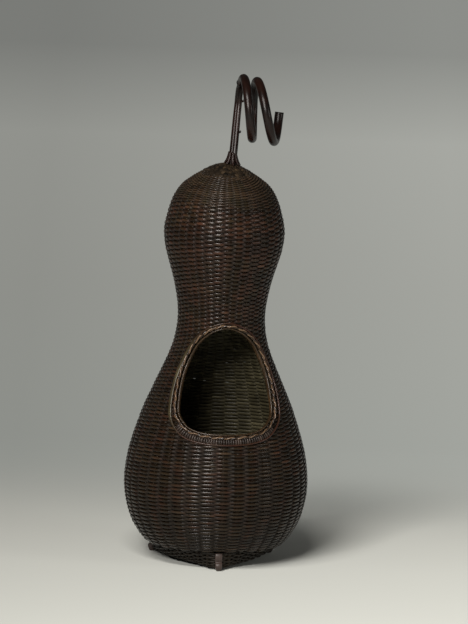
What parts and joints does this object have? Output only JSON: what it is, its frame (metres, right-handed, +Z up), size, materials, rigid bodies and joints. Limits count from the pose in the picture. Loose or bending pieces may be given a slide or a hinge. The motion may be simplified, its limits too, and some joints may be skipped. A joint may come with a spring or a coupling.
{
  "type": "hanging flower basket",
  "caption": "Gourd-shaped woven bamboo hanging flower basket with an egg-shaped front mouth, a curled branch handle, small feet and a lift-out water tube.",
  "frame": {"origin": "on the body's axis, level with the ends of the three feet", "axes": "+Z up along the body's axis, the mouth and one foot face -Y, the handle curls towards +X"},
  "size_m": [0.1838, 0.1837, 0.4919],
  "materials": {
    "woven_weft": "dark stained split bamboo, satin lacquer",
    "stake_bamboo": "dark stained split bamboo, satin",
    "base_bamboo": "dark stained bamboo, dull satin",
    "foot_bamboo": "worn bamboo strip with a pale cut end",
    "rim_bamboo": "golden brown bamboo, satin",
    "rim_cord": "golden brown twisted split cane, satin",
    "handle_branch": "dark red-brown branch, polished",
    "peg_bamboo": "plain bamboo",
    "tube_cane": "bamboo culm, dark lacquer"
  },
  "bodies": {
    "basket": {"woven_foot_band": "woven_weft", "woven_belly_band": "woven_weft", "woven_lip_band": "woven_weft", "woven_shoulder_band": "woven_weft", "woven_neck_band": "woven_weft", "woven_bulb_band": "woven_weft", "crown": "stake_bamboo", "base_mat": "base_bamboo", "foot_front": "foot_bamboo", "foot_right": "foot_bamboo", "foot_left": "foot_bamboo", "mouth_inner_hoop": "rim_bamboo", "mouth_outer_hoop": "rim_bamboo", "mouth_twisted_cord": "rim_cord", "mouth_lashings": "rim_cord", "spiral_handle": "handle_branch", "handle_peg": "peg_bamboo"},
    "liner": {"water_tube": "tube_cane"}
  },
  "joints": [
    {"name": "water_tube_lift", "type": "slide", "parent": "basket", "child": "liner", "axis": [0, 0, 1], "range_m": [0, 0.14]}
  ]
}
